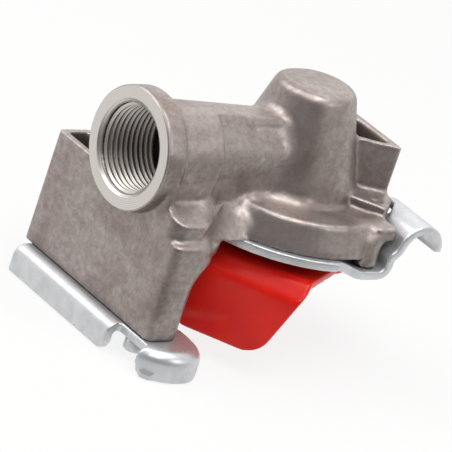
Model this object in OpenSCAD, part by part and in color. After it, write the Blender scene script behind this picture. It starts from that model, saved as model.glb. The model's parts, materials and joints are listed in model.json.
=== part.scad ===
// Palm-type air brake coupler head with a shut-off valve and a swing-away dust cover.
// Millimetres. The origin is on the valve axis in the sealing plane, under the cast head.
// +X runs out of the threaded port, +Z runs up the dome, and the sealing face looks down.

/* [Port] */
// Distance from the valve axis to the port face
port_x = 53; // [51:0.5:58]
// Height of the port axis above the sealing plane
port_z = 15.6; // [15:0.1:17]
// Minor diameter of the M22 x 1.5 thread
thread_d = 20.4; // [18:0.1:21]
// Depth of the threaded hole
thread_depth = 16; // [12:0.5:17]
// Width of the chamfer at the thread's mouth
thread_chamfer = 1.3; // [0.5:0.1:1.8]
// Outer diameter of the port collar
collar_d = 30; // [29:0.5:34]
// Length of the port collar
collar_len = 6.4; // [5:0.1:9]
// Diameter of the stub behind the collar, on the tab side
stub_d = 26.6; // [26:0.1:28.5]
// Length of the stub behind the collar
stub_len = 12.4; // [8:0.1:13]
// Diameter of the waist where it meets the collar
waist_d = 24.2; // [23.6:0.1:25.6]
// Diameter of the waist on the valve axis
waist_end_d = 19; // [17:0.1:21]
// Diameter of the air passage from the thread to the valve chamber
passage_d = 10; // [8:0.5:11]
// How far the rib on top of the waist reaches to the tab side
rib_y = 5.2; // [4:0.1:7]
// Height of the rib above the port axis, at the stub's end
rib_h = 12; // [11.6:0.1:13]
// Fall of the rib's top towards the dome
rib_fall = 3.8; // [2:0.1:6]

/* [Head] */
// Radius of the cast head at the sealing plane
head_r = 28; // [27:0.1:30]
// Radius of the cast head at its top edge
head_top_r = 25.4; // [24:0.1:26.5]
// Height of the cast head
head_h = 7.9; // [7.6:0.1:10]
// Radius of the dome's cone where it leaves the head
dome_foot_r = 16.6; // [16:0.1:18.5]
// Radius of the dome's cone at its top
dome_top_r = 9; // [8.8:0.1:11]
// Height of the dome's top
dome_z = 33.6; // [33:0.1:38]
// Radius of the dome's top edge
dome_edge_r = 2.4; // [1:0.1:3.5]
// How far the dome is drawn out towards the port
dome_long = 2.2; // [1:0.1:4]

/* [Hook wing] */
// Front face of the wing
wing_front_x = 48.7; // [47.5:0.1:50]
// Rear face of the wing, over the hook gap
wing_rear_x = 38.5; // [38:0.1:40]
// Reach of the wing to the tab side
wing_right_y = 22.5; // [21.5:0.1:24]
// Reach of the wing to the pivot side
wing_left_y = 30.4; // [29.5:0.1:32]
// Height of the wing's top above the sealing plane
wing_top_z = 5.2; // [4.5:0.1:7]
// Depth of the wing's bottom below the sealing plane
wing_bottom_z = 24.2; // [22.5:0.1:27]
// Wall of the wing round its pocket
wing_wall = 1.9; // [1.5:0.1:2.6]
// Radius of the arch under the neck
arch_r = 6; // [3:0.1:8]

/* [Tail box] */
// Back wall of the tail box
tail_x = 20.3; // [19:0.1:22]
// Half width of the tail box at its back
tail_half_w = 13.4; // [12:0.1:15]
// Height of the tail box
tail_z = 23; // [18:0.1:26]
// Wall of the tail box
tail_wall = 2; // [1.5:0.1:3]

/* [Sheet plates] */
// Thickness of the guide plate
guide_t = 2.2; // [1.8:0.1:2.5]
// Radius of the guide plate
guide_r = 29.7; // [29:0.1:31]
// Near end of the claw, across the plate
claw_near_y = 29; // [27:0.1:29.5]
// Far end of the claw, across the plate
claw_far_y = 12.8; // [12:0.1:15]
// Radius of the claw's arch at mid thickness
claw_arch_r = 5.8; // [4.5:0.1:6.5]
// Thickness of the hook plate
hook_t = 2.3; // [1.8:0.1:2.6]
// How far the hook plate's flange stands before the wing
hook_nose = 4.1; // [3.4:0.1:5]
// How far the hook plate's flange stands behind the wing
hook_heel = 6.3; // [5:0.1:6.6]
// Reach of the hook plate past the wing on the tab side
hook_overhang = 7.3; // [6:0.1:9]
// Depth of the hook plate's flange
hook_flange = 7.4; // [6:0.1:9]
// Outer bend radius of the hook plate
hook_bend_r = 3.2; // [3:0.1:4.5]
// Plan radius of the hook plate's front corner
hook_corner_r = 11; // [8:0.1:12]

/* [Cover] */
// Radius of the cover's disc
cover_r = 22; // [21:0.1:26]
// Thickness of the cover
cover_t = 2; // [1.6:0.1:2.6]
// Distance from the valve axis to the tab's outer face
tab_reach = 30; // [29:0.1:31]
// Depth of the tab's lower edge below the sealing plane
tab_bottom = 26.2; // [20:0.1:28]
// Depth of the crease between the tab's ramp and its face
tab_crease = 9.6; // [8.6:0.1:12]
// Half width of the tab at its root
tab_root_half = 18; // [14:0.1:19]
// Half width of the tab at its lower edge
tab_tip_half = 11.5; // [8:0.1:13]
// Direction of the tab, from +X towards +Y
tab_angle = 36; // [32:1:42]
// Diameter of the pivot pin
pin_d = 6; // [4:0.1:7]
// How far the pivot axis lies behind the wing's rear face
pivot_back = 9; // [8.5:0.1:10]
// Distance of the pivot axis from the port's axis
pivot_side = 21.5; // [19:0.1:24]

/* [Valve] */
// Radius of the seal ring
seal_r = 17.6; // [16.5:0.1:17.7]
// How far the seal stands below the guide plate
seal_proud = 2; // [1:0.1:2.2]
// Upward travel of the valve when a mating head presses the seal
valve_travel = 2; // [1:0.1:2.2]
// Outer radius of the valve's tube
tube_r = 6.5; // [5.5:0.1:7]
// Wall of the valve's tube
tube_wall = 1.9; // [1.2:0.1:2.5]
// Wire of the valve spring
valve_wire = 1.2; // [0.8:0.1:1.5]

/* [Hidden] */
$fn = 96;

// Finishes as seen
cast_grey = [0.56, 0.53, 0.51];
zinc = [0.83, 0.85, 0.85];
cover_red = [0.84, 0.13, 0.10];
rubber_black = [0.08, 0.08, 0.08];
brass = [0.78, 0.62, 0.33];
spring_steel = [0.55, 0.56, 0.58];

// Fits and small gaps
fit = 0.02;
running = 0.05;
gap = 0.3;
lap = 0.5;
past = 1;
bend_step = 8;

// Port stretches, from the face inwards
collar_x = port_x - collar_len;
stub_x = collar_x - stub_len;
thread_end_x = port_x - thread_depth;
collar_edge = 1.2;
rib_back = 1;
wall_in = 0.3;
wall_below = 2;

// Valve bores, from the sealing plane upwards
carrier_z = 0.2;
carrier_t = 1.6;
seal_lip = 1;
seal_room = 0.4;
seal_bore_r = 18;
seal_bore_z = carrier_z + carrier_t + seal_lip + valve_travel + seal_room;
seat_r = 12.5;
seat_h = 3.1;
circlip_t = 1;
circlip_groove = 0.8;
seat_z = seal_bore_z + 2 * gap / 3 + circlip_t + 0.1;
seat_top_z = seat_z + seat_h;
chamber_r = 10.2;
chamber_z = 20;
spring_bore_r = 7.2;
dome_cap = 2.8;
spring_top_z = dome_z - dome_cap;

// Valve stack
carrier_r = seal_r - 1.25;
seal_bottom_z = -guide_t - seal_proud;
seal_inner_r = 9;
washer_gap = 0.1;
seat_lip_h = 0.5;
valve_washer_z = seat_top_z + seat_lip_h + washer_gap;
valve_washer_t = 1.4;
valve_head_z = valve_washer_z + valve_washer_t;
valve_head_t = 2;
valve_head_r = 9.2;
spigot_r = 4.4;
spigot_h = 3.4;
valve_spring_r = spigot_r + valve_wire / 2 + 0.3;
valve_spring_turns = 6;

// Cover and its pivot
pivot_x = wing_rear_x - pivot_back;
pivot = [pivot_x, -pivot_side];
pivot_boss_r = 6;
pivot_boss_z = -2.4;
cover_top_z = -5.2;
cover_rim_z = cover_top_z - cover_t;
eye_r = 6.3;
eye_h = 4.2;
eye_bottom_z = cover_top_z - eye_h;
pivot_washer_t = 1;
pivot_clip_t = 0.8;
pivot_washer_z = eye_bottom_z - 0.2 - pivot_washer_t;
pivot_clip_z = pivot_washer_z - 0.1 - pivot_clip_t;
pin_end_z = pivot_clip_z - 1.6;
pin_seat = 6.4;
cover_wire = 1.1;

// Wing
wing_upper_z = 0.8;
shoulder_y = wing_right_y - 2.1;
ledge_fall = 20;
neck_half = 13.2;
neck_foot_half = 17.4;
gusset_len = 8;
gusset_r = 11;

// Tail
tail_base_h = 2.7;

// Sheet plates
claw_root_x = 3;
claw_inner_y = 16.4;
claw_room = 0.4;
claw_room_x = -12;
guide_hole_r = seal_r + 0.9;
hook_front_x = wing_front_x + hook_nose;
hook_rear_x = wing_rear_x - hook_heel;
hook_top_z = -wing_bottom_z;
hook_right_y = wing_right_y + hook_overhang;
hook_left_y = wing_left_y - 2.8;
notch_y = [wing_right_y - 9.7, wing_right_y + 1.2];
notch_x = wing_front_x + 0.4;
guide_rivet_r = 2.2;
guide_rivet_hold = 4;
guide_rivet_ring = 23.9;
guide_rivet_angles = [68, 195, 315];
hook_rivet_r = 1.6;
hook_rivet_head_r = 2.6;
hook_rivet_hold = 8;
hook_rivets = [[wing_front_x - 2.4, wing_right_y - 6.2], [wing_front_x - 3, -wing_left_y + 10.4]];

// Rounded convex outline: points run anticlockwise, one radius for each corner.
function unit(v) = v / norm(v);
function corner_arm(pts, i, step) = unit(pts[(i + step + len(pts)) % len(pts)] - pts[i]);
function corner_half(pts, i) = acos(corner_arm(pts, i, -1) * corner_arm(pts, i, 1)) / 2;
function corner_centre(pts, radii, i) =
    pts[i] + unit(corner_arm(pts, i, -1) + corner_arm(pts, i, 1)) * radii[i] / sin(corner_half(pts, i));
function corner_touch(pts, radii, i, step) =
    pts[i] + corner_arm(pts, i, step) * radii[i] / tan(corner_half(pts, i));
function inset_touch(pts, radii, i, step, inset) =
    let (c = corner_centre(pts, radii, i), p = corner_touch(pts, radii, i, step))
    c + (p - c) * (1 - inset / radii[i]);

module rounded_outline(pts, radii, inset = 0) {
    polygon([for (i = [0:len(pts) - 1], step = [-1, 1]) inset_touch(pts, radii, i, step, inset)]);
    for (i = [0:len(pts) - 1])
        translate(corner_centre(pts, radii, i))
            circle(r = radii[i] - inset);
}

// Section of a sheet bent down through a right angle, outer face at x = 0 and sheet top at y = 0
module bend_section(bend_r, t, depth) {
    translate([-bend_r, -bend_r])
        intersection() {
            difference() {
                circle(r = bend_r);
                circle(r = bend_r - t);
            }
            square(bend_r);
        }
    translate([-t, -depth])
        square([t, depth - bend_r]);
}

// Flange that hangs from the edge of a rounded outline
module skirt(pts, radii, bend_r, t, depth) {
    n = len(pts);
    for (i = [0:n - 1]) {
        start = corner_touch(pts, radii, i, 1);
        end = corner_touch(pts, radii, (i + 1) % n, -1);
        along = unit(end - start);
        facing = atan2(-along[0], along[1]);
        translate(end)
            rotate([0, 0, facing])
                rotate([90, 0, 0])
                    linear_extrude(norm(end - start))
                        bend_section(bend_r, t, depth);
        turn = 180 - 2 * corner_half(pts, i);
        arrive = corner_arm(pts, i, -1);
        translate(corner_centre(pts, radii, i))
            rotate([0, 0, atan2(arrive[0], -arrive[1])])
                rotate_extrude(angle = turn)
                    translate([radii[i], 0])
                        bend_section(bend_r, t, depth);
    }
}

// Strip of sheet drawn from a path of [straight length, turn angle, bend radius], heading along +X
function left_of(heading) = [-sin(heading), cos(heading)];
function strip_edge(path, offset, i = 0, from = [0, 0], heading = 0) =
    i == len(path) ? [] :
    let (bend_start = from + path[i][0] * [cos(heading), sin(heading)],
         turn = path[i][1],
         r = sign(turn) * path[i][2],
         centre = bend_start + r * left_of(heading),
         steps = ceil(abs(turn) / bend_step),
         arc = [for (k = [0:steps]) centre - (r - offset) * left_of(heading + turn * k / steps)])
    concat([from + offset * left_of(heading)], arc,
           strip_edge(path, offset, i + 1, centre - r * left_of(heading + turn), heading + turn));
function reversed(list) = [for (i = [len(list) - 1:-1:0]) list[i]];
function distinct(pts) = [for (i = [0:len(pts) - 1]) if (i == 0 || norm(pts[i] - pts[i - 1]) > 0.001) pts[i]];

module strip(path, t) {
    polygon(concat(distinct(strip_edge(path, -t / 2)), reversed(distinct(strip_edge(path, t / 2)))));
}

// Round wire swept along a list of points
module wire(path, wire_r, sides = 8) {
    n = len(path);
    rings = [for (i = [0:n - 1])
        let (ahead = path[min(i + 1, n - 1)] - path[max(i - 1, 0)],
             across = unit(cross(ahead, [0, 0, 1])),
             up = unit(cross(across, ahead)))
        [for (k = [0:sides - 1])
            path[i] + wire_r * (cos(360 * k / sides) * across + sin(360 * k / sides) * up)]];
    points = [for (ring = rings, p = ring) p];
    walls = [for (i = [0:n - 2], k = [0:sides - 1])
        let (a = i * sides + k, b = i * sides + (k + 1) % sides)
        [a, a + sides, b + sides, b]];
    first = [for (k = [0:sides - 1]) k];
    last = [for (k = [sides - 1:-1:0]) (n - 1) * sides + k];
    polyhedron(points, concat([first], walls, [last]));
}

// Cast body: head, dome, port tube, neck, hook wing, tail box, pivot boss and claw lugs
module head() {
    edge_h = 1.1;
    chamfer = 0.6;
    difference() {
        rotate_extrude()
            polygon([[0, 0], [head_r, 0], [head_r, edge_h], [head_top_r + chamfer, head_h - chamfer],
                     [head_top_r, head_h], [0, head_h]]);
        translate([-2 * head_r + claw_room_x, claw_inner_y - claw_room, -past])
            cube([2 * head_r, head_r, head_h + 2 * past]);
        translate([-2 * head_r - tail_x, claw_far_y - claw_room, -past])
            cube([2 * head_r, head_r, head_h + 2 * past]);
    }
}

module dome_profile() {
    lean = atan2(dome_foot_r - dome_top_r, dome_z - head_h);
    edge_z = dome_z - dome_edge_r;
    side_r = dome_top_r + dome_edge_r * tan(lean);
    edge_x = side_r - dome_edge_r / cos(lean);
    polygon([[0, head_h - lap], [dome_foot_r + lap * tan(lean), head_h - lap],
             [edge_x + dome_edge_r * cos(lean), edge_z + dome_edge_r * sin(lean)],
             [edge_x, dome_z], [0, dome_z]]);
    translate([edge_x, edge_z])
        circle(r = dome_edge_r);
}

module dome() {
    rotate([0, 0, 90])
        rotate_extrude(angle = 180)
            dome_profile();
    translate([dome_long, 0, 0])
        rotate([0, 0, -90])
            rotate_extrude(angle = 180)
                dome_profile();
    rotate([90, 0, 90])
        linear_extrude(dome_long) {
            dome_profile();
            mirror([1, 0])
                dome_profile();
        }
}

// Side walls below the port axis, so that the casting leaves its mould upwards
module drop_wall(from_x, to_x, from_half, to_half, near_only = false) {
    translate([0, 0, wing_upper_z])
        linear_extrude(port_z - wall_below - wing_upper_z)
            polygon([[from_x, near_only ? 0 : -from_half], [to_x, near_only ? 0 : -to_half],
                     [to_x, to_half], [from_x, from_half]]);
}

// Everything under the top of the rib and the stub, which falls towards the dome
module under_rib_top() {
    rise = tan(rib_fall);
    translate([0, stub_d / 2, 0])
        rotate([90, 0, 0])
            linear_extrude(stub_d / 2 + rib_back)
                polygon([[0, -stub_d], [port_x, -stub_d], [port_x, rib_h + rise * (port_x - stub_x)],
                         [0, rib_h - rise * stub_x]]);
}

module port_tube() {
    collar_r = collar_d / 2;
    stub_r = stub_d / 2;
    rib_foot = 1.2;
    rib_foot_z = rib_h - 2.6;
    waist_slope = (waist_d - waist_end_d) / 2 / collar_x;
    root_x = dome_long + 3;
    root_r = waist_end_d / 2 + waist_slope * root_x;
    translate([0, 0, port_z]) {
        rotate([0, 90, 0])
            rotate_extrude()
                polygon([[0, root_x], [root_r, root_x], [waist_d / 2, collar_x],
                         [collar_r - collar_edge, collar_x],
                         [collar_r - collar_edge / 4, collar_x + collar_edge / 3],
                         [collar_r, collar_x + collar_edge], [collar_r, port_x - wall_in],
                         [collar_r - wall_in, port_x], [0, port_x]]);
        intersection() {
            under_rib_top();
            union() {
                translate([stub_x, 0, 0])
                    rotate([0, 90, 0])
                        cylinder(r = stub_r, h = stub_len + lap);
                translate([root_x, 0, 0])
                    rotate([90, 0, 90])
                        linear_extrude(stub_x + lap - root_x)
                            polygon([[-rib_back, 0], [rib_y + rib_foot, 0], [rib_y + rib_foot, rib_foot_z],
                                     [rib_y, rib_h], [rib_y, 2 * rib_h], [-rib_back, 2 * rib_h]]);
            }
        }
    }
    drop_wall(root_x, collar_x, root_r - wall_in, waist_d / 2 - wall_in);
    drop_wall(stub_x, collar_x, stub_r - wall_in, stub_r - wall_in, true);
    drop_wall(collar_x, wing_front_x, collar_r - wall_in, collar_r - wall_in);
}

// Neck from the head to the wing, its sides leaning in, with an arch and a gusset behind the wing
module neck() {
    from_x = head_top_r - 6;
    arch_left = -pivot_side + pivot_boss_r;
    gusset_y = 10;
    gusset_end_x = wing_rear_x - gusset_len;
    gusset_root_x = wing_rear_x + 4;
    gusset_plan = [[gusset_root_x, gusset_y], [gusset_root_x, wing_right_y], [wing_rear_x - 1.2, wing_right_y],
                   [gusset_end_x, neck_foot_half - 0.3], [gusset_end_x, gusset_y]];
    translate([from_x, 0, 0])
        rotate([90, 0, 90])
            linear_extrude(wing_rear_x + past - from_x)
                polygon([[arch_left + 0.1, 0], [neck_foot_half, 0], [neck_half, wing_top_z],
                         [-neck_half, wing_top_z]]);
    difference() {
        translate([wing_rear_x - arch_r, arch_left, -arch_r])
            cube([arch_r + lap, gusset_y + lap - arch_left, arch_r + lap]);
        translate([wing_rear_x - arch_r, 0, -arch_r])
            rotate([90, 0, 0])
                cylinder(r = arch_r, h = 4 * wing_right_y, center = true);
    }
    intersection() {
        difference() {
            translate([gusset_end_x - past, 0, -gusset_r - past])
                cube([gusset_root_x + 2 * past - gusset_end_x, 2 * wing_right_y, gusset_r + past + wing_upper_z]);
            translate([wing_rear_x + 0.2 - gusset_r, 0, -gusset_r])
                rotate([90, 0, 0])
                    cylinder(r = gusset_r, h = 6 * wing_right_y, center = true);
        }
        translate([0, 0, -2 * gusset_r])
            linear_extrude(port_z + 2 * gusset_r)
                rounded_outline(gusset_plan, [0.1, 0.1, 3.4, 0.1, 0.1]);
    }
}

// Hook wing, with a half-moon shoulder beside the port tube whose ledge falls outwards
module half_moon() {
    back_x = head_r + lap;
    plan = [[wing_front_x, 0], [wing_front_x, shoulder_y], [wing_rear_x + past, shoulder_y],
            [back_x, neck_half - 1.6], [back_x, 0]];
    difference() {
        translate([0, 0, wing_upper_z - lap])
            linear_extrude(port_z)
                rounded_outline(plan, [0.1, 4, 5, 0.1, 0.1]);
        translate([0, shoulder_y, wing_top_z])
            rotate([-ledge_fall, 0, 0])
                translate([0, -2 * shoulder_y, 0])
                    cube([2 * port_x, 3 * shoulder_y, 2 * port_z]);
        translate([0, -past, wing_top_z])
            cube([2 * port_x, stub_d / 2, port_z]);
    }
}

module wing() {
    lower = [[wing_front_x, -wing_left_y], [wing_front_x, wing_right_y],
             [wing_rear_x, wing_right_y], [wing_rear_x, -wing_left_y]];
    upper = [for (p = lower) [p[0], min(p[1], stub_d / 2)]];
    translate([0, 0, -wing_bottom_z])
        linear_extrude(wing_bottom_z + wing_upper_z)
            rounded_outline(lower, [1.5, 2, 3.5, 2]);
    translate([0, 0, wing_upper_z - lap])
        linear_extrude(wing_top_z - wing_upper_z + lap)
            rounded_outline(upper, [1.5, 0.5, 0.5, 2]);
    half_moon();
}

module wing_pocket() {
    floor_z = -wing_bottom_z + 1.4 * wing_wall;
    depth_x = wing_front_x - wing_rear_x - 2 * wing_wall;
    pocket_w = wing_left_y - 2 * wing_wall - collar_d / 2 + wall_in;
    translate([wing_rear_x + wing_wall, -wing_left_y + wing_wall, floor_z])
        cube([depth_x, pocket_w, wing_top_z - floor_z + past]);
}

module wing_core() {
    core_wall = wing_wall + 0.6;
    core_half = stub_d / 2 - 4;
    translate([wing_rear_x + core_wall, -core_half, -wing_bottom_z - past])
        cube([wing_front_x - wing_rear_x - 2 * core_wall, 2 * core_half, wing_bottom_z - 4]);
}

module tail_base() {
    polygon([[-7.6, 14.4], [-13.7, 21.4], [-tail_x, 15.7], [-tail_x, -15.7], [-13.7, -21.4], [-7.6, -14.4]]);
}

module tail_slot() {
    depth = 0.9;
    width = 1.1;
    from = [-13.2, 15.6];
    to = [-15.2, 18.4];
    reach = to - from;
    translate([from[0], from[1], head_h + tail_base_h - depth])
        rotate([0, 0, atan2(reach[1], reach[0])])
            translate([0, -width / 2, 0])
                cube([norm(reach), width, depth + past]);
}

module tail() {
    base_z = head_h + tail_base_h;
    inner_half = 6.5;
    inner_x = 6;
    slope = (tail_half_w - inner_half) / (tail_x - inner_x);
    outer = [[-inner_x, inner_half], [-tail_x, tail_half_w],
             [-tail_x, -tail_half_w], [-inner_x, -inner_half]];
    back = -tail_x + tail_wall;
    room = tail_half_w - tail_wall - slope * tail_wall;
    web_y = -3.5;
    translate([0, 0, head_h - lap])
        linear_extrude(tail_base_h + lap)
            tail_base();
    difference() {
        translate([0, 0, head_h])
            linear_extrude(tail_z - head_h)
                polygon(outer);
        translate([0, 0, base_z])
            linear_extrude(tail_z - base_z + past)
                difference() {
                    polygon([[-inner_x, inner_half - tail_wall], [back, room], [back, -room],
                             [-inner_x, -inner_half + tail_wall]]);
                    translate([-tail_x, web_y - tail_wall / 2])
                        square([tail_x, tail_wall]);
                }
    }
}

module pivot_boss() {
    translate([0, 0, pivot_boss_z])
        linear_extrude(wing_top_z - pivot_boss_z) {
            translate(pivot)
                circle(r = pivot_boss_r);
            translate([pivot_x, -pivot_side - pivot_boss_r])
                square([wing_rear_x - pivot_x + lap, 2 * pivot_boss_r]);
        }
}

module claw_lugs() {
    lug = [-8.4, 24.6];
    lug_r = 3.3;
    lug_h = 7.2;
    nub = [-14.1, 21, 4.6];
    nub_size = [6, 6.2, 3.7];
    translate([lug[0], lug[1], -guide_t + 0.1])
        cylinder(r = lug_r, h = lug_h);
    translate(nub)
        cube(nub_size);
}

module valve_bores() {
    translate([0, 0, -past])
        cylinder(r = seal_bore_r, h = seal_bore_z + past);
    cylinder(r = seat_r, h = seat_top_z);
    translate([0, 0, seat_z - circlip_t - 0.1])
        cylinder(r = seat_r + circlip_groove, h = circlip_t + 0.1);
    cylinder(r = chamber_r, h = chamber_z);
    cylinder(r = spring_bore_r, h = spring_top_z);
}

module port_bores() {
    translate([0, 0, port_z])
        rotate([0, 90, 0]) {
            cylinder(d = passage_d, h = thread_end_x + lap);
            translate([0, 0, thread_end_x])
                cylinder(d = thread_d, h = thread_depth + past);
            translate([0, 0, port_x - thread_chamfer])
                cylinder(d1 = thread_d, d2 = thread_d + 4 * thread_chamfer, h = 2 * thread_chamfer);
        }
}

module body_casting() {
    color(cast_grey)
        difference() {
            union() {
                head();
                dome();
                port_tube();
                neck();
                wing();
                tail();
                pivot_boss();
                claw_lugs();
            }
            valve_bores();
            port_bores();
            wing_pocket();
            wing_core();
            tail_slot();
            translate([pivot[0], pivot[1], pivot_boss_z - past])
                cylinder(d = pin_d + 2 * fit, h = pin_seat + past);
            for (p = hook_rivets)
                translate([p[0], p[1], -wing_bottom_z - past])
                    cylinder(r = hook_rivet_r + fit, h = hook_rivet_hold + past);
            for (a = guide_rivet_angles)
                rotate([0, 0, a])
                    translate([guide_rivet_ring, 0, -past])
                        cylinder(r = guide_rivet_r + fit, h = guide_rivet_hold + past);
        }
}

// Guide plate under the head, with the claw that a mating hook slides over
module claw() {
    dip = [[lap, -20, 6], [5.2, 20, 6]];
    heel = [[4.9, 90, 2.6], [1, -48, 2.2], [0.7, 26, 3]];
    arch = [[1.8, -158, claw_arch_r]];
    difference() {
        translate([claw_root_x + lap, claw_near_y, -guide_t / 2])
            rotate([90, 0, 0])
                linear_extrude(claw_near_y - claw_far_y)
                    mirror([1, 0])
                        strip(concat(dip, heel, arch), guide_t);
        translate([-tail_x - 0.6, claw_far_y - past, -4 * guide_t])
            cube([2 * tail_x, claw_inner_y - claw_far_y + past, 12 * guide_t]);
        translate([-1.5 * gap, 1.5 * gap, head_h - lap - gap])
            linear_extrude(4 * guide_t)
                tail_base();
    }
}

module guide_plate() {
    color(zinc)
        difference() {
            union() {
                translate([0, 0, -guide_t])
                    linear_extrude(guide_t)
                        difference() {
                            circle(r = guide_r);
                            translate([claw_root_x - 2 * guide_r, claw_inner_y - 0.4])
                                square([2 * guide_r, guide_r]);
                        }
                claw();
            }
            translate([0, 0, -4 * guide_t])
                cylinder(r = guide_hole_r, h = 8 * guide_t);
            for (a = guide_rivet_angles)
                rotate([0, 0, a])
                    translate([guide_rivet_ring, 0, -2 * guide_t])
                        cylinder(r = guide_rivet_r + fit, h = 3 * guide_t);
        }
}

module guide_plate_rivets() {
    rivet_head_h = 1.2;
    rivet_head_r = guide_rivet_r + 1.6;
    color(zinc)
        for (a = guide_rivet_angles)
            rotate([0, 0, a])
                translate([guide_rivet_ring, 0, 0]) {
                    translate([0, 0, -guide_t - rivet_head_h])
                        cylinder(r1 = rivet_head_r - 0.8, r2 = rivet_head_r, h = rivet_head_h);
                    translate([0, 0, -guide_t])
                        cylinder(r = guide_rivet_r, h = guide_t + guide_rivet_hold - fit);
                }
}

// Hook plate under the wing, its edge drawn down on three sides and notched at the stud
module hook_notch() {
    low_z = -hook_flange;
    ease = [2.4, 3];
    polygon([[notch_y[0] - ease[0] - past, low_z - past], [notch_y[0] - 0.3 * ease[0], low_z + 0.3 * ease[0]],
             [notch_y[0], low_z + ease[0]], [notch_y[0], past], [notch_y[1], past],
             [notch_y[1], low_z + ease[1]], [notch_y[1] + 0.3 * ease[1], low_z + 0.3 * ease[1]],
             [notch_y[1] + ease[1] + past, low_z - past]]);
}

module hook_detent() {
    size = [1.2, 3, 1.7];
    proud = 0.4;
    translate([hook_front_x - hook_corner_r, hook_right_y - hook_corner_r, hook_top_z - hook_flange])
        rotate([0, 0, 45])
            translate([hook_corner_r + proud - size[0], -size[1] / 2, 0])
                cube(size);
}

module hook_plate() {
    cut_len = 20;
    outline = [[hook_front_x, -hook_left_y - cut_len], [hook_front_x, hook_right_y],
               [hook_rear_x, hook_right_y], [hook_rear_x, -hook_left_y - cut_len]];
    rear_r = hook_front_x - hook_rear_x - hook_corner_r - past;
    radii = [6, hook_corner_r, rear_r, 6];
    color(zinc)
        difference() {
            union() {
                translate([0, 0, hook_top_z]) {
                    translate([0, 0, -hook_t])
                        linear_extrude(hook_t)
                            rounded_outline(outline, radii, hook_bend_r);
                    skirt(outline, radii, hook_bend_r, hook_t, hook_flange);
                }
                hook_detent();
            }
            translate([hook_rear_x - past, -hook_left_y - 2 * cut_len, hook_top_z - 2 * hook_flange])
                cube([hook_front_x, 2 * cut_len, 3 * hook_flange]);
            translate([notch_x, 0, hook_top_z])
                rotate([90, 0, 90])
                    linear_extrude(hook_front_x)
                        hook_notch();
            for (p = hook_rivets)
                translate([p[0], p[1], hook_top_z - 2 * hook_t])
                    cylinder(r = hook_rivet_r + fit, h = 3 * hook_t);
        }
}

module hook_plate_rivets() {
    rivet_head_h = 2.9;
    color(zinc)
        for (p = hook_rivets)
            translate([p[0], p[1], hook_top_z - hook_t]) {
                cylinder(r = hook_rivet_r, h = hook_t + hook_rivet_hold - fit);
                translate([0, 0, -rivet_head_h])
                    cylinder(r = hook_rivet_head_r, h = rivet_head_h);
            }
}

// Dust cover: disc under the seal, arm to the pivot, and the thumb tab
module cover_plan() {
    arm_from = 16;
    arm_half = 11;
    reach = norm(pivot);
    flare_n = 9;
    flare_half = 20;
    circle(r = cover_r);
    rotate(tab_angle)
        polygon([[0, -flare_half], [flare_n, -flare_half], [tab_reach - 5.5, -tab_root_half],
                 [tab_reach - 5.5, tab_root_half], [flare_n, flare_half], [0, flare_half]]);
    rotate(atan2(pivot[1], pivot[0]))
        polygon([[arm_from, -arm_half], [reach, -eye_r], [reach, eye_r], [arm_from, arm_half]]);
    translate(pivot)
        circle(r = eye_r);
}

module tab_section() {
    slope = 45;
    root_r = 3;
    crease_r = 2.2;
    flat = 3;
    mid_z = cover_top_z - cover_t / 2;
    half_turn = cover_t / 2 * tan(slope / 2);
    crease_z = -tab_crease - half_turn;
    ramp_rise = mid_z - crease_z;
    ramp = ramp_rise / sin(slope) - (root_r + crease_r) * tan(slope / 2);
    start = tab_reach - cover_t / 2 - ramp_rise / tan(slope) - root_r * tan(slope / 2) - flat;
    translate([start, mid_z])
        strip([[flat, -slope, root_r], [ramp, slope - 90, crease_r], [tab_bottom, -1, crease_r]], cover_t);
}

module tab() {
    tip_r = 7;
    root_z = cover_top_z + past;
    face = [[-tab_tip_half, -tab_bottom], [tab_tip_half, -tab_bottom],
            [tab_root_half, cover_top_z - 3], [tab_root_half, root_z],
            [-tab_root_half, root_z], [-tab_root_half, cover_top_z - 3]];
    rotate([0, 0, tab_angle])
        intersection() {
            rotate([90, 0, 0])
                linear_extrude(4 * tab_root_half, center = true)
                    tab_section();
            rotate([90, 0, 90])
                linear_extrude(2 * tab_reach)
                    rounded_outline(face, [tip_r, tip_r, 3, 0.1, 0.1, 3]);
        }
}

module dust_cover() {
    color(cover_red)
        difference() {
            union() {
                translate([0, 0, cover_rim_z])
                    linear_extrude(cover_t)
                        cover_plan();
                tab();
                translate([pivot[0], pivot[1], eye_bottom_z])
                    cylinder(r = eye_r, h = eye_h);
            }
            translate([pivot[0], pivot[1], eye_bottom_z - past])
                cylinder(d = pin_d + 2 * running, h = eye_h + 2 * past);
        }
}

module cover_pivot_pin() {
    groove = 0.8;
    color(zinc)
        translate([pivot[0], pivot[1], 0])
            difference() {
                translate([0, 0, pin_end_z])
                    cylinder(d = pin_d, h = pivot_boss_z + pin_seat - 0.2 - pin_end_z);
                translate([0, 0, pivot_clip_z - 0.05])
                    difference() {
                        cylinder(d = pin_d + past, h = pivot_clip_t + 0.1);
                        cylinder(d = pin_d - 2 * groove, h = pivot_clip_t + 0.1);
                    }
            }
}

module cover_washer() {
    color(zinc)
        translate([pivot[0], pivot[1], pivot_washer_z])
            difference() {
                cylinder(r = eye_r - 0.4, h = pivot_washer_t);
                translate([0, 0, -past])
                    cylinder(d = pin_d + 0.4, h = pivot_washer_t + 2 * past);
            }
}

module cover_clip() {
    clip_r = pin_d / 2 + 1.8;
    throat = pin_d * 0.62;
    color(spring_steel)
        translate([pivot[0], pivot[1], pivot_clip_z])
            difference() {
                cylinder(r = clip_r, h = pivot_clip_t);
                translate([0, 0, -past])
                    cylinder(d = pin_d - 1.6 + 2 * fit, h = pivot_clip_t + 2 * past);
                translate([0, -throat / 2, -past])
                    cube([2 * clip_r, throat, pivot_clip_t + 2 * past]);
            }
}

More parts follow.
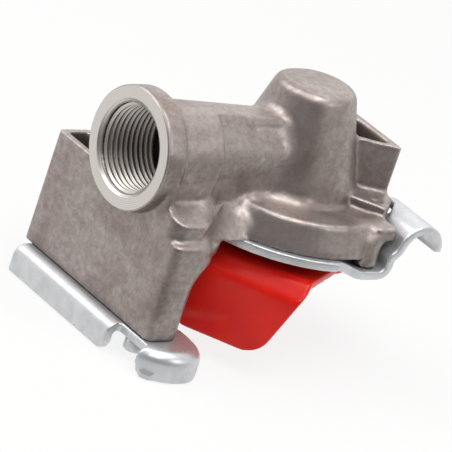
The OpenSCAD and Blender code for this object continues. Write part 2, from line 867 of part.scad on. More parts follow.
// Torsion spring round the pivot pin, between the boss and the cover's eye
module cover_spring() {
    coil_r = pin_d / 2 + cover_wire / 2 + 0.35;
    turns = 1.25;
    low_z = cover_top_z + cover_wire / 2 + 0.12;
    rise = (pivot_boss_z - cover_top_z - cover_wire - 0.3) / turns;
    steps = 24;
    coil = [for (k = [0:steps * turns])
        let (a = 360 * k / steps + 60)
        [coil_r * cos(a), coil_r * sin(a), low_z + rise * k / steps]];
    first_leg = coil[0] + 6 * [sin(60), -cos(60), 0];
    end_a = 360 * turns + 60;
    last_leg = coil[len(coil) - 1] + 7 * [-sin(end_a), cos(end_a), 0];
    color(spring_steel)
        translate([pivot[0], pivot[1], 0])
            wire(concat([first_leg], coil, [last_leg]), cover_wire / 2);
}

// Valve: the seal and its carrier hang on the stem, which lifts off the seat as the seal is pressed in
module seal_ring() {
    body_top = carrier_z - fit;
    lip_z = carrier_z + carrier_t + fit;
    color(rubber_black)
        rotate_extrude()
            polygon([[seal_inner_r, seal_bottom_z], [seal_r - 1.6, seal_bottom_z],
                     [seal_r, seal_bottom_z + 1.2], [seal_r, lip_z + seal_lip],
                     [carrier_r - 1.4, lip_z + seal_lip], [carrier_r - 1.4, lip_z],
                     [carrier_r + fit, lip_z], [carrier_r + fit, body_top],
                     [seal_inner_r, body_top]]);
}

module seal_carrier() {
    color(brass)
        translate([0, 0, carrier_z])
            difference() {
                cylinder(r = carrier_r, h = carrier_t);
                translate([0, 0, -past])
                    cylinder(r = tube_r - 0.6 + fit, h = carrier_t + 2 * past);
            }
}

module valve_stem() {
    window = 4;
    window_z = seat_top_z - 2.8;
    window_h = valve_washer_z - 0.2 - window_z;
    bore_top_z = valve_washer_z + 0.4;
    color(brass)
        difference() {
            union() {
                translate([0, 0, carrier_z])
                    cylinder(r = tube_r - 0.6, h = carrier_t + lap);
                translate([0, 0, carrier_z + carrier_t + fit])
                    cylinder(r = tube_r, h = valve_head_z - carrier_z - carrier_t);
                translate([0, 0, valve_head_z])
                    cylinder(r = valve_head_r, h = valve_head_t);
                translate([0, 0, valve_head_z + valve_head_t - lap])
                    cylinder(r = spigot_r, h = spigot_h + lap);
            }
            translate([0, 0, -past])
                cylinder(r = tube_r - tube_wall, h = bore_top_z + past);
            for (a = [0, 90])
                rotate([0, 0, a + 45])
                    translate([-2 * tube_r, -window / 2, window_z])
                        cube([4 * tube_r, window, window_h]);
        }
}

module valve_washer() {
    color(rubber_black)
        translate([0, 0, valve_washer_z])
            difference() {
                cylinder(r = valve_head_r - 0.2, h = valve_washer_t - fit);
                translate([0, 0, -past])
                    cylinder(r = tube_r + fit, h = valve_washer_t + 2 * past);
            }
}

module valve_spring() {
    low_z = valve_head_z + valve_head_t + valve_wire / 2 + 0.05;
    high_z = spring_top_z - valve_wire / 2 - 0.05;
    steps = 20;
    count = steps * valve_spring_turns;
    color(spring_steel)
        wire([for (k = [0:count])
            let (a = 360 * k / steps, closed = min(1, max(0, (k - steps) / (count - 2 * steps))))
            [valve_spring_r * cos(a), valve_spring_r * sin(a),
             low_z + (high_z - low_z - 2 * valve_wire) * closed + valve_wire * (min(k, steps)
             + max(0, k - count + steps)) / steps]], valve_wire / 2);
}

module valve_seat() {
    groove_h = 1.9;
    groove = 1.3;
    lip_r = valve_head_r - 1.7;
    lip_w = 0.5;
    lip_foot = 0.4;
    color(brass)
        rotate_extrude()
            difference() {
                polygon([[tube_r + running, seat_z], [seat_r - fit, seat_z], [seat_r - fit, seat_top_z],
                         [lip_r + lip_w + lip_foot, seat_top_z], [lip_r + lip_w, seat_top_z + seat_lip_h],
                         [lip_r, seat_top_z + seat_lip_h], [lip_r - lip_foot, seat_top_z],
                         [tube_r + running, seat_top_z]]);
                translate([seat_r - groove, seat_z + (seat_h - groove_h) / 2])
                    square([groove + past, groove_h]);
            }
}

module seat_o_ring() {
    section_r = 0.64;
    color(rubber_black)
        translate([0, 0, seat_z + seat_h / 2])
            rotate_extrude()
                translate([seat_r - section_r - 0.01, 0])
                    circle(r = section_r);
}

module seat_circlip() {
    inner_r = seat_r - 1.8;
    mouth = 7;
    color(spring_steel)
        translate([0, 0, seat_z - circlip_t - 0.05])
            difference() {
                cylinder(r = seat_r + circlip_groove - 0.05, h = circlip_t);
                translate([0, 0, -past])
                    cylinder(r = inner_r, h = circlip_t + 2 * past);
                translate([0, -mouth / 2, -past])
                    cube([2 * seat_r, mouth, circlip_t + 2 * past]);
            }
}

body_casting();
guide_plate();
hook_plate();
guide_plate_rivets();
hook_plate_rivets();
dust_cover();
cover_pivot_pin();
cover_spring();
cover_washer();
cover_clip();
seal_ring();
seal_carrier();
valve_stem();
valve_washer();
valve_spring();
valve_seat();
seat_o_ring();
seat_circlip();
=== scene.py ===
import json
import math

import bpy
import numpy as np
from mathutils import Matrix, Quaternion, Vector


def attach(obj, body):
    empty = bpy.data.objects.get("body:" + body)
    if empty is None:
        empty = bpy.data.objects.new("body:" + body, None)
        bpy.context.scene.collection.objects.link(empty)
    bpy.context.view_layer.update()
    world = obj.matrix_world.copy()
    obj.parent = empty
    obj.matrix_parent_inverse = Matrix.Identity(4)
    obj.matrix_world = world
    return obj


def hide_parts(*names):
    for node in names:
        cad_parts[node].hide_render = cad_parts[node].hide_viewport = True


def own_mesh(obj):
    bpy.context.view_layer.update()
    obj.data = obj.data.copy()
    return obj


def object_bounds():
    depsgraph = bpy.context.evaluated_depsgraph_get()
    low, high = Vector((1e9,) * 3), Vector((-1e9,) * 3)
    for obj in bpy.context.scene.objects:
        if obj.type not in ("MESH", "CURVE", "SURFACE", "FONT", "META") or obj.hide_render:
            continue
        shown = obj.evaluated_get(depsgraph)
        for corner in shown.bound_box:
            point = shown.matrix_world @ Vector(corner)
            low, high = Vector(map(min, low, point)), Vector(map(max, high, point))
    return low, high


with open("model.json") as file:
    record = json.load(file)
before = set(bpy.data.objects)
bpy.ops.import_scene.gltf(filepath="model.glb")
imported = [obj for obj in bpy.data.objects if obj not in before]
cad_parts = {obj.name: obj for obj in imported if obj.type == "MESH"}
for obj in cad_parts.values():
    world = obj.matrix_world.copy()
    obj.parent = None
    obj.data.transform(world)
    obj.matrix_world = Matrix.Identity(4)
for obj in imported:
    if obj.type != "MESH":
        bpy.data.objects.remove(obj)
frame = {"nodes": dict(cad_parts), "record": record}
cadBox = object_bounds()
nodes = frame["nodes"]
mm = 0.001
portAxisZ = 15.6 * mm
print("frame loaded,", len(nodes), "CAD pieces")


def activate(obj):
    bpy.ops.object.select_all(action="DESELECT")
    obj.select_set(True)
    bpy.context.view_layer.objects.active = obj


def applyModifier(obj, kind, **settings):
    activate(obj)
    modifier = obj.modifiers.new(kind.lower(), kind)
    for name, value in settings.items():
        setattr(modifier, name, value)
    bpy.ops.object.modifier_apply(modifier=modifier.name)


def remesh(piece, voxelMm):
    applyModifier(piece, "REMESH", mode="VOXEL", voxel_size=voxelMm * mm, use_smooth_shade=True)


def relax(piece, rounds):
    applyModifier(piece, "SMOOTH", factor=0.5, iterations=rounds)


def shadeByAngle(piece, degrees):
    activate(piece)
    bpy.ops.object.shade_smooth_by_angle(angle=math.radians(degrees))


def copyOfNode(node, name):
    piece = bpy.data.objects.new(name, nodes[node].data.copy())
    bpy.context.scene.collection.objects.link(piece)
    activate(piece)
    bpy.ops.object.mode_set(mode="EDIT")
    bpy.ops.mesh.select_all(action="SELECT")
    bpy.ops.mesh.remove_doubles(threshold=1e-6)
    bpy.ops.object.mode_set(mode="OBJECT")
    return piece


def dress(piece, material):
    piece.data.materials.clear()
    piece.data.materials.append(material)


def seat(piece, body, slot, material, *standsFor):
    dress(piece, material)
    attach(piece, body)
    if standsFor:
        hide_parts(*standsFor)


def hexColour(code):
    out = []
    for i in (1, 3, 5):
        c = int(code[i:i + 2], 16) / 255
        out.append(c / 12.92 if c <= 0.04045 else ((c + 0.055) / 1.055) ** 2.4)
    return (*out, 1.0)


# links an input to a socket, or sets it to a plain value
def feed(tree, node, inputs):
    for key, value in inputs.items():
        if isinstance(value, bpy.types.NodeSocket):
            tree.links.new(value, node.inputs[key])
        else:
            node.inputs[key].default_value = value


def addNode(tree, kind, inputs=None, **settings):
    node = tree.nodes.new(kind)
    for name, value in settings.items():
        setattr(node, name, value)
    feed(tree, node, inputs or {})
    return node


def remap(tree, value, fromLow, fromHigh, toLow, toHigh):
    node = addNode(tree, "ShaderNodeMapRange", {0: value, 1: fromLow, 2: fromHigh, 3: toLow, 4: toHigh})
    return node.outputs[0]


# camera at the photograph's angle, rolled as the part leans there
cameraView = {"azimuth": 46.154, "elevation": 21.034, "roll": 18.799, "distance": 1.2, "lens": 394.8,
              "aimRight": -0.01281, "aimUp": -0.004677, "sensor": 36, "clipFrom": 0.01, "clipTo": 20}
az, el = math.radians(cameraView["azimuth"]), math.radians(cameraView["elevation"])
toward = Vector((math.cos(el) * math.cos(az), math.cos(el) * math.sin(az), math.sin(el)))
turned = toward.to_track_quat("Z", "Y") @ Quaternion((0, 0, 1), math.radians(cameraView["roll"]))
cameraData = bpy.data.cameras.new("camera")
cameraData.lens = cameraView["lens"]
cameraData.sensor_width = cameraView["sensor"]
cameraData.clip_start = cameraView["clipFrom"]
cameraData.clip_end = cameraView["clipTo"]
camera = bpy.data.objects.new("camera", cameraData)
camera.rotation_mode = "QUATERNION"
camera.rotation_quaternion = turned
camera.location = (turned @ Vector((cameraView["aimRight"], cameraView["aimUp"], 0))
                   + toward * cameraView["distance"])
bpy.context.scene.collection.objects.link(camera)
bpy.context.scene.camera = camera
print("camera placed")

# soft studio, white to the camera; what metal mirrors of its surround and floor dims towards the room in front;
# a lamp has its place, size and watts
studio = {"ambient": 0.18, "room": (0.5, 0.86, 0.1), "roomFrom": -0.35, "roomTo": 0.9, "roomDim": 0.12,
          "floorSize": 6, "floorGap": 0.0002, "floorTone": "#f4f3f1", "floorSeen": 0.84,
          "floorMirrored": 0.92, "floorFrom": 0.03, "floorTo": 0.14, "floorDim": 0.28,
          "lamps": [("keyLamp", (0.42, -0.40, 0.8), 0.8, 4.9),
                    ("sideLamp", (-0.35, 0.8, 0.5), 0.4, 1.3),
                    ("backLamp", (-0.62, -0.50, 0.6), 0.7, 0.5),
                    ("topLamp", (-0.05, 0.25, 1.0), 0.6, 4.4),
                    ("frontLamp", (0.40, 0.55, 0.85), 0.3, 2.2)],
          "aim": (0.01, 0.0, 0.0)}
white = (1, 1, 1, 1)


def towardRoom(tree, place):
    node = addNode(tree, "ShaderNodeVectorMath", {0: place, 1: studio["room"]}, operation="DOT_PRODUCT")
    return node.outputs["Value"]


def mirrorRays(tree, rays):
    node = addNode(tree, "ShaderNodeMath", {0: rays["Is Glossy Ray"], 1: rays["Is Transmission Ray"]},
                   operation="MAXIMUM")
    return node.outputs[0]


def mixShaders(tree, share, first, second):
    return addNode(tree, "ShaderNodeMixShader", {0: share, 1: first.outputs[0], 2: second.outputs[0]})


world = bpy.data.worlds.new("studio")
bpy.context.scene.world = world
world.use_nodes = True
tree = world.node_tree
tree.nodes.clear()
rays = addNode(tree, "ShaderNodeLightPath").outputs
sky = addNode(tree, "ShaderNodeTexCoord").outputs["Generated"]
dimmed = remap(tree, towardRoom(tree, sky), studio["roomFrom"], studio["roomTo"], 1.0, studio["roomDim"])
lightSide = addNode(tree, "ShaderNodeBackground", {"Color": white, "Strength": studio["ambient"]})
mirrorSide = addNode(tree, "ShaderNodeBackground", {"Color": dimmed, "Strength": 1.0})
seenSide = addNode(tree, "ShaderNodeBackground", {"Color": white, "Strength": 1.0})
mixed = mixShaders(tree, mirrorRays(tree, rays), lightSide, mirrorSide)
mixed = mixShaders(tree, rays["Is Camera Ray"], mixed, seenSide)
addNode(tree, "ShaderNodeOutputWorld", {"Surface": mixed.outputs[0]})
for name, place, size, watts in studio["lamps"]:
    lamp = bpy.data.lights.new(name, "AREA")
    lamp.shape = "SQUARE"
    lamp.size = size
    lamp.energy = watts
    holder = bpy.data.objects.new(name, lamp)
    holder.location = place
    holder.rotation_mode = "QUATERNION"
    holder.rotation_quaternion = (Vector(place) - Vector(studio["aim"])).to_track_quat("Z", "Y")
    bpy.context.scene.collection.objects.link(holder)

bpy.ops.object.select_all(action="DESELECT")
bpy.ops.mesh.primitive_plane_add(size=studio["floorSize"], location=(0, 0, cadBox[0][2] - studio["floorGap"]))
floor = bpy.context.object
floor.name = "floor"
floorPaint = bpy.data.materials.new("paleFloor")
floorPaint.use_nodes = True
tree = floorPaint.node_tree
tree.nodes.clear()
rays = addNode(tree, "ShaderNodeLightPath").outputs
place = addNode(tree, "ShaderNodeTexCoord").outputs["Object"]
dimmed = remap(tree, towardRoom(tree, place), studio["floorFrom"], studio["floorTo"], 1.0, studio["floorDim"])
matt = addNode(tree, "ShaderNodeBsdfDiffuse", {"Color": hexColour(studio["floorTone"])})
mirrorSide = addNode(tree, "ShaderNodeEmission", {"Color": dimmed, "Strength": studio["floorMirrored"]})
seenSide = addNode(tree, "ShaderNodeEmission", {"Color": white, "Strength": 1.0})
share = addNode(tree, "ShaderNodeMath", {0: rays["Is Camera Ray"], 1: studio["floorSeen"]}, operation="MULTIPLY")
mixed = mixShaders(tree, mirrorRays(tree, rays), matt, mirrorSide)
mixed = mixShaders(tree, share.outputs[0], mixed, seenSide)
addNode(tree, "ShaderNodeOutputMaterial", {"Surface": mixed.outputs[0]})
dress(floor, floorPaint)
bpy.context.scene.view_settings.view_transform = "Standard"
print("studio set")

waveBand = 0.314  # spacing of the wave texture's bands at scale 1
noiseSpan = (0.3, 0.7)  # where most values of a noise texture lie


def newMaterial(name):
    mat = bpy.data.materials.new(name)
    mat.use_nodes = True
    tree = mat.node_tree
    shader = tree.nodes["Principled BSDF"]
    coords = addNode(tree, "ShaderNodeTexCoord").outputs["Object"]
    return mat, tree, shader, coords


def noise(tree, coords, sizeMm, detail, roughness=0.5, distortion=0.0):
    node = addNode(tree, "ShaderNodeTexNoise", {"Vector": coords, "Scale": 1 / (sizeMm * mm), "Detail": detail,
                                                "Roughness": roughness, "Distortion": distortion})
    return node.outputs["Fac"]


def latheRings(tree, coords, axis, ringMm, distortion, detailScale=1.0):
    node = addNode(tree, "ShaderNodeTexWave", {"Vector": coords, "Scale": waveBand / (ringMm * mm), "Detail": 2.0,
                                               "Distortion": distortion, "Detail Scale": detailScale},
                   wave_type="RINGS", rings_direction=axis)
    return node.outputs["Fac"]


# 1 in the open, less in corners closer than reachMm; it places the painted shade in corners
def openness(tree, reachMm):
    return addNode(tree, "ShaderNodeAmbientOcclusion", {"Distance": reachMm * mm}, samples=8).outputs["AO"]


# two stops, each a value and the colour or share that it gives
def ramp(tree, value, stops):
    node = addNode(tree, "ShaderNodeValToRGB", {0: value})
    for element, (place, colour) in zip(node.color_ramp.elements, stops):
        element.position = place
        element.color = hexColour(colour) if isinstance(colour, str) else (colour, colour, colour, 1)
    return node.outputs[0]


def tint(tree, share, base, code):
    node = addNode(tree, "ShaderNodeMix", {"Factor": share, 6: base, 7: hexColour(code)}, data_type="RGBA")
    return node.outputs[2]


def relief(tree, shader, height, look):
    bump = addNode(tree, "ShaderNodeBump", {"Height": height, "Strength": look["bump"],
                                            "Distance": look["bumpMm"] * mm})
    feed(tree, shader, {"Normal": bump.outputs[0]})


# die-cast light alloy, shot blasted: satin warm grey, finely clouded and pitted, with brown stains and painted
# shade in its corners, and paler where edges wear
castLook = {"tone": ((0.30, "#978c88"), (0.70, "#b9afaa")), "toneMm": 1.5,
            "stain": "#7f6f66", "stainMm": 14.0, "stainStops": ((0.45, 0.0), (0.68, 0.7)),
            "pit": "#5d5350", "pitMm": 0.9, "pitStops": ((0.62, 0.0), (0.78, 0.4)),
            # corner: painted shade, a dark colour laid into corners and crevices by ambient occlusion
            "corner": "#40383a", "cornerShadeMm": 3.4, "cornerShadeStops": ((0.35, 0.8), (0.90, 0.0)),
            "worn": "#cdc6c1", "wornStops": ((0.53, 0.0), (0.62, 0.6)),
            "metallic": 0.85, "roughDark": 0.48, "roughLight": 0.34, "gritMm": 0.5, "bump": 0.5, "bumpMm": 0.02}
castAlloy, tree, shader, coords = newMaterial("dieCastAlloy")
cloud = noise(tree, coords, castLook["toneMm"], detail=8.0, roughness=0.68)
stain = noise(tree, coords, castLook["stainMm"], detail=8.0, roughness=0.7, distortion=0.5)
speck = noise(tree, coords, castLook["pitMm"], detail=4.0)
shade = openness(tree, castLook["cornerShadeMm"])
edge = addNode(tree, "ShaderNodeNewGeometry").outputs["Pointiness"]
tone = ramp(tree, cloud, castLook["tone"])
tone = tint(tree, ramp(tree, stain, castLook["stainStops"]), tone, castLook["stain"])
tone = tint(tree, ramp(tree, speck, castLook["pitStops"]), tone, castLook["pit"])
# painted shade: darkens the tone where surfaces close in on each other
tone = tint(tree, ramp(tree, shade, castLook["cornerShadeStops"]), tone, castLook["corner"])
tone = tint(tree, ramp(tree, edge, castLook["wornStops"]), tone, castLook["worn"])
rough = remap(tree, cloud, *noiseSpan, castLook["roughDark"], castLook["roughLight"])
feed(tree, shader, {"Base Color": tone, "Metallic": castLook["metallic"], "Roughness": rough})
relief(tree, shader, noise(tree, coords, castLook["gritMm"], detail=3.0), castLook)

# the same alloy turned on a lathe: pale satin with fine rings about the port axis, drawn coarser than real to
# show, with painted shade in its grooves and corners
turnedLook = {"tone": ((0.1, "#d3cdc6"), (0.9, "#e0dbd5")), "ringMm": 0.5,
              # the groove colour is painted shade, a dark colour laid into grooves and corners by ambient
              # occlusion
              "grooveShade": "#4a4541", "grooveShadeMm": 5.0, "grooveShadeStops": ((0.1, 0.9), (0.75, 0.0)),
              "metallic": 1.0, "roughness": 0.38, "bump": 0.3, "bumpMm": 0.02}
machinedAlloy, tree, shader, coords = newMaterial("turnedAlloy")
centred = addNode(tree, "ShaderNodeMapping", {"Vector": coords, "Location": (0, 0, -portAxisZ)}).outputs[0]
rings = latheRings(tree, centred, "X", turnedLook["ringMm"], distortion=0.6, detailScale=3.0)
grooveOpenness = openness(tree, turnedLook["grooveShadeMm"])
tone = ramp(tree, rings, turnedLook["tone"])
# painted shade: darkens the rings where surfaces close in on each other
tone = tint(tree, ramp(tree, grooveOpenness, turnedLook["grooveShadeStops"]), tone, turnedLook["grooveShade"])
feed(tree, shader, {"Base Color": tone, "Metallic": turnedLook["metallic"], "Roughness": turnedLook["roughness"]})
relief(tree, shader, rings, turnedLook)

# bright zinc on sheet steel: pale neutral grey, the plating's faint clouds and small handling marks
zincLook = {"tone": ((0.34, "#cacdd0"), (0.60, "#d9dbdd")), "toneMm": 4.0, "metallic": 0.65,
            "roughDark": 0.37, "roughLight": 0.26, "markMm": 1.2, "bump": 0.25, "bumpMm": 0.03}
zincSheet, tree, shader, coords = newMaterial("zincPlatedSheet")
cloud = noise(tree, coords, zincLook["toneMm"], detail=6.0, roughness=0.6)
rough = remap(tree, cloud, *noiseSpan, zincLook["roughDark"], zincLook["roughLight"])
feed(tree, shader, {"Base Color": ramp(tree, cloud, zincLook["tone"]), "Metallic": zincLook["metallic"],
                    "Roughness": rough})
relief(tree, shader, noise(tree, coords, zincLook["markMm"], detail=4.0), zincLook)

# injection-moulded red nylon: deep red, half gloss, very fine orange peel
redLook = {"tone": ((0.3, "#da170e"), (0.7, "#e82112")), "toneMm": 8.0, "roughness": 0.24, "ior": 1.53,
           "specular": 0.28, "peelMm": 1.4, "bump": 0.25, "bumpMm": 0.03}
redNylon, tree, shader, coords = newMaterial("redNylon")
cloud = noise(tree, coords, redLook["toneMm"], detail=3.0)
feed(tree, shader, {"Base Color": ramp(tree, cloud, redLook["tone"]), "Roughness": redLook["roughness"],
                    "IOR": redLook["ior"], "Specular IOR Level": redLook["specular"]})
relief(tree, shader, noise(tree, coords, redLook["peelMm"], detail=2.0), redLook)

# moulded rubber: near black, dull, a little bloom on it
rubberLook = {"tone": ((0.4, "#1d1d1d"), (0.75, "#3a3937")), "toneMm": 3.0, "roughness": 0.62, "ior": 1.52}
blackRubber, tree, shader, coords = newMaterial("mouldedRubber")
cloud = noise(tree, coords, rubberLook["toneMm"], detail=6.0)
feed(tree, shader, {"Base Color": ramp(tree, cloud, rubberLook["tone"]), "Roughness": rubberLook["roughness"],
                    "IOR": rubberLook["ior"]})

# turned brass: warm yellow with fine rings about the valve axis, drawn coarser than real to show
brassLook = {"tone": ((0.1, "#b98d47"), (0.9, "#d6b069")), "ringMm": 0.3, "metallic": 1.0, "roughness": 0.28}
turnedBrass, tree, shader, coords = newMaterial("turnedBrass")
rings = latheRings(tree, coords, "Z", brassLook["ringMm"], distortion=0.5)
feed(tree, shader, {"Base Color": ramp(tree, rings, brassLook["tone"]), "Metallic": brassLook["metallic"],
                    "Roughness": brassLook["roughness"]})

# spring steel: dark blue-grey wire, finely clouded
steelLook = {"tone": ((0.3, "#6c6f75"), (0.7, "#9ea1a6")), "toneMm": 0.8, "metallic": 1.0, "roughness": 0.34}
springSteel, tree, shader, coords = newMaterial("springSteel")
cloud = noise(tree, coords, steelLook["toneMm"], detail=5.0)
feed(tree, shader, {"Base Color": ramp(tree, cloud, steelLook["tone"]), "Metallic": steelLook["metallic"],
                    "Roughness": steelLook["roughness"]})
print("materials made")


# one cutter cylinder along the port axis, then thrown away
def cutAlongPort(piece, radiusMm, fromMm, toMm, sides=128):
    bpy.ops.object.select_all(action="DESELECT")
    bpy.ops.mesh.primitive_cylinder_add(vertices=sides, radius=radiusMm * mm, depth=(toMm - fromMm) * mm,
                                        location=((fromMm + toMm) / 2 * mm, 0, portAxisZ),
                                        rotation=(0, math.pi / 2, 0))
    cutter = bpy.context.object
    bpy.ops.object.transform_apply(location=True, rotation=True, scale=True)
    applyModifier(piece, "BOOLEAN", operation="DIFFERENCE", solver="MANIFOLD", object=cutter)
    bpy.data.objects.remove(cutter)


def vertexRows(piece, what):
    flat = np.empty(len(piece.data.vertices) * 3)
    piece.data.vertices.foreach_get(what, flat)
    return flat.reshape(-1, 3)


# how far each place lies inside a set of boxes, 1 within and 0 beyond a soft margin, all in mm
def insideBoxes(places, boxes, marginMm):
    share = np.zeros(len(places))
    for low, high in boxes:
        beyond = np.maximum(np.array(low) - places / mm, places / mm - np.array(high)).max(axis=1)
        share = np.maximum(share, np.clip(1 - beyond / marginMm, 0, 1))
    return share


# draws what stands past a corner's round in to it, fully at the foot and not at all at the top
def taperToCorner(places, corner):
    spoke = places[:, :2] / mm - np.array(corner["centre"])
    reach = np.maximum(np.linalg.norm(spoke, axis=1), 1e-6)
    height = places[:, 2] / mm
    rise = np.clip((height - corner["fromZ"]) / (corner["toZ"] - corner["fromZ"]), 0, 1)
    wanted = corner["radius"] + (reach - corner["radius"]) * rise * rise * (3 - 2 * rise)
    inCorner = (spoke[:, 0] < 0) & (spoke[:, 1] > 0)
    inCorner &= (reach > corner["radius"]) & (reach < corner["radius"] + corner["band"])
    inCorner &= (height > corner["fromZ"] - corner["below"]) & (height < corner["toZ"])
    places[inCorner, :2] = (np.array(corner["centre"]) + spoke * (wanted / reach)[:, None])[inCorner] * mm


# cast body: the solid's own shape; outer edges barely eased, inner corners filled as a die's fillets do, broadly
# where the tube runs into the dome and the neck into the wing; soft boxes round the outer edges too, melted ones
# blend all, crisp ones keep the tube's steps, and the seal's bore isn't filled; boxes and heights in mm
castBody = {"voxelMm": 0.52, "easeRounds": 3, "filletRounds": 11, "broadRounds": 140, "lastRounds": 2,
            "fillFromMm": 0.05, "smoothDeg": 50,
            "broad": [((7, -24, 3), (25, 24, 30)), ((23, 8, -16), (38, 26, 8))], "broadMarginMm": 4.0,
            "soft": [((-40, -30, -3), (-14, 30, 40)), ((-14, 19, 1), (-2, 30, 8)), ((36, 17, -2), (50, 24, 2))],
            "softMarginMm": 1.5,
            "melted": [((33, 11, 2), (36, 16, 9)), ((23, 11, 4), (26, 14, 7)), ((-10, 22, 3), (-5, 28, 7))],
            "meltedMarginMm": 3.0,
            "crisp": [((22, -20, 8), (52, 20, 32))], "crispMarginMm": 2.0, "crispShare": 0.9,
            "wingCorner": {"centre": (42, 19), "radius": 3.5, "band": 3.5, "fromZ": -12.2, "toZ": -2.0,
                           "below": 0.5},
            "sealBoreMm": 20.5, "sealBoreTopMm": 6,
            "boreMm": 10.75, "boreFromMm": 36.0, "faceMm": 52.4, "faceCutMm": 30, "cutToMm": 60}
body = copyOfNode("body_casting", "castBody")
remesh(body, castBody["voxelMm"])
places = vertexRows(body, "co")
taperToCorner(places, castBody["wingCorner"])
body.data.vertices.foreach_set("co", places.ravel())
relax(body, castBody["easeRounds"])
eased = vertexRows(body, "co")
normals = vertexRows(body, "normal")
relax(body, castBody["filletRounds"])
filled = vertexRows(body, "co")
relax(body, castBody["broadRounds"])
broad = vertexRows(body, "co")
filled += (broad - filled) * insideBoxes(eased, castBody["broad"], castBody["broadMarginMm"])[:, None]
outward = np.sum((filled - eased) * normals, axis=1)
keep = np.maximum(np.clip(outward / (castBody["fillFromMm"] * mm), 0, 1),
                  insideBoxes(eased, castBody["soft"], castBody["softMarginMm"]))
keep *= 1 - castBody["crispShare"] * insideBoxes(eased, castBody["crisp"], castBody["crispMarginMm"])
inSealBore = np.linalg.norm(eased[:, :2], axis=1) < castBody["sealBoreMm"] * mm
keep[inSealBore & (eased[:, 2] < castBody["sealBoreTopMm"] * mm)] = 0
shaped = eased + (filled - eased) * keep[:, None]
shaped += (broad - shaped) * insideBoxes(eased, castBody["melted"], castBody["meltedMarginMm"])[:, None]
body.data.vertices.foreach_set("co", shaped.ravel())
body.data.update()
relax(body, castBody["lastRounds"])
cutAlongPort(body, castBody["boreMm"], castBody["boreFromMm"], castBody["cutToMm"])
cutAlongPort(body, castBody["faceCutMm"], castBody["faceMm"], castBody["cutToMm"])
shadeByAngle(body, castBody["smoothDeg"])
seat(body, "housing", "cast_alloy", castAlloy, "body_casting")
print("cast body", len(body.data.polygons), "faces")


# closed outline of a ring or a thread ridge, as (along the port, from its axis) in mm
def portOutline(name, points):
    bpy.ops.object.select_all(action="DESELECT")
    bpy.ops.mesh.primitive_circle_add(vertices=len(points), radius=mm)
    piece = bpy.context.object
    piece.name = name
    for vertex, (along, out) in zip(piece.data.vertices, points):
        vertex.co = (along * mm, 0, out * mm)
    return piece


# turned mouth of the port: flat face, small outer chamfer, lead-in cone; its outer rim is left as cast
portMouth = {"outline": [(53.0, 11.75), (53.0, 14.62), (52.72, 14.9), (50.6, 14.88), (50.6, 10.75), (52.0, 10.75)],
             "steps": 128, "turnedToMm": 14.75, "smoothDeg": 30}
mouth = portOutline("portMouth", portMouth["outline"])
activate(mouth)
bpy.ops.object.mode_set(mode="EDIT")
bpy.ops.mesh.select_all(action="SELECT")
bpy.ops.mesh.spin(steps=portMouth["steps"], angle=2 * math.pi, center=(0, 0, 0), axis=(1, 0, 0))
bpy.ops.mesh.select_all(action="SELECT")
bpy.ops.mesh.remove_doubles(threshold=1e-6)
bpy.ops.mesh.normals_make_consistent(inside=False)
bpy.ops.transform.translate(value=(0, 0, portAxisZ))
bpy.ops.object.mode_set(mode="OBJECT")
shadeByAngle(mouth, portMouth["smoothDeg"])
seat(mouth, "housing", "cast_alloy", machinedAlloy)
mouth.data.materials.append(castAlloy)
for face in mouth.data.polygons:
    rim = Vector((0, face.center.y, face.center.z - portAxisZ)).length
    face.material_index = 1 if rim > portMouth["turnedToMm"] * mm else 0

# M22 x 1.5 thread: one ridge wound into the bore, cut back by the lead-in cone
portThread = {"ridge": [(-0.73, 10.9), (-0.62, 10.75), (-0.19, 10.2), (0.19, 10.2), (0.62, 10.75), (0.73, 10.9)],
              "pitchMm": 1.5, "startMm": 36.9, "turns": 10, "steps": 72, "crestMm": 10.2, "coneFromMm": 51.42,
              "smoothDeg": 25}
thread = portOutline("portThread", [(x + portThread["startMm"], r) for x, r in portThread["ridge"]])
applyModifier(thread, "SCREW", axis="X", angle=2 * math.pi, screw_offset=portThread["pitchMm"] * mm,
              iterations=portThread["turns"], steps=portThread["steps"], render_steps=portThread["steps"],
              use_merge_vertices=False)
activate(thread)
bpy.ops.object.mode_set(mode="EDIT")
bpy.ops.mesh.select_all(action="DESELECT")
bpy.ops.mesh.select_non_manifold(extend=False)
bpy.ops.mesh.edge_face_add()
bpy.ops.mesh.select_all(action="SELECT")
bpy.ops.mesh.normals_make_consistent(inside=False)
bpy.ops.transform.translate(value=(0, 0, portAxisZ))
bpy.ops.object.mode_set(mode="OBJECT")
for vertex in thread.data.vertices:
    out = Vector((0, vertex.co.y, vertex.co.z - portAxisZ))
    least = portThread["crestMm"] * mm + vertex.co.x - portThread["coneFromMm"] * mm
    if out.length < least:
        out = out.normalized() * least
        vertex.co = (vertex.co.x, out.y, out.z + portAxisZ)
shadeByAngle(thread, portThread["smoothDeg"])
seat(thread, "housing", "cast_alloy", machinedAlloy)
print("port mouth and thread", len(mouth.data.polygons), len(thread.data.polygons), "faces")

# pressed sheet: sheared edges just broken
sheetEdges = {"voxelMm": 0.36, "rounds": 3}
for node in ("guide_plate", "hook_plate"):
    plate = copyOfNode(node, node + "_sheet")
    remesh(plate, sheetEdges["voxelMm"])
    relax(plate, sheetEdges["rounds"])
    seat(plate, "housing", "zinc_sheet", zincSheet, node)
    print(node, len(plate.data.polygons), "faces")

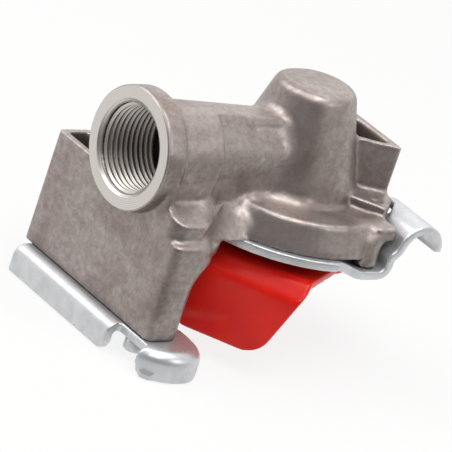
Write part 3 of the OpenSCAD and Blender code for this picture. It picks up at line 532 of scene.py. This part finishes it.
# moulded cover: edges rounded by the mould
coverForm = {"voxelMm": 0.4, "rounds": 7}
cover = copyOfNode("dust_cover", "mouldedCover")
remesh(cover, coverForm["voxelMm"])
relax(cover, coverForm["rounds"])
seat(cover, "cover", "red_plastic", redNylon, "dust_cover")
print("cover", len(cover.data.polygons), "faces")

# small turned and pressed pieces: the solids with their edges eased, widths in mm
easedEdges = {"hook_plate_rivets": 0.55, "guide_plate_rivets": 0.25, "cover_pivot_pin": 0.3, "cover_washer": 0.15,
              "cover_clip": 0.12, "seal_carrier": 0.2, "valve_seat": 0.12, "seat_circlip": 0.12,
              "valve_stem": 0.2, "valve_washer": 0.25, "seal_ring": 0.35}
easing = {"flatDeg": 1, "fromDeg": 35, "segments": 3, "smoothDeg": 30}
finishes = {"zinc_sheet": zincSheet, "black_rubber": blackRubber, "brass": turnedBrass,
            "spring_steel": springSteel, "cast_alloy": castAlloy, "red_plastic": redNylon}
bodyOf = {node: name for name, members in frame["record"]["behaviour"]["bodies"].items() for node in members}
slotOf = {part["node"]: part["material_slot"] for part in frame["record"]["subparts"]}
for node, width in easedEdges.items():
    piece = copyOfNode(node, node + "_eased")
    bpy.ops.object.mode_set(mode="EDIT")
    bpy.ops.mesh.select_all(action="SELECT")
    bpy.ops.mesh.dissolve_limited(angle_limit=math.radians(easing["flatDeg"]))
    bpy.ops.object.mode_set(mode="OBJECT")
    applyModifier(piece, "BEVEL", width=width * mm, segments=easing["segments"], limit_method="ANGLE",
                  angle_limit=math.radians(easing["fromDeg"]))
    shadeByAngle(piece, easing["smoothDeg"])
    seat(piece, bodyOf[node], slotOf[node], finishes[slotOf[node]], node)
print("small pieces eased")

# springs: the solids' wire made round
springForm = {"levels": 1}
for node in ("cover_spring", "valve_spring"):
    spring = copyOfNode(node, node + "_wire")
    applyModifier(spring, "SUBSURF", levels=springForm["levels"], render_levels=springForm["levels"])
    activate(spring)
    bpy.ops.object.shade_smooth()
    seat(spring, bodyOf[node], slotOf[node], springSteel, node)
    if node == "valve_spring":
        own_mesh(spring)
print("springs made")

# the solids' own finishes, for those that nothing stands for
for node, slot in slotOf.items():
    dress(nodes[node], finishes[slot])
print("solids dressed")
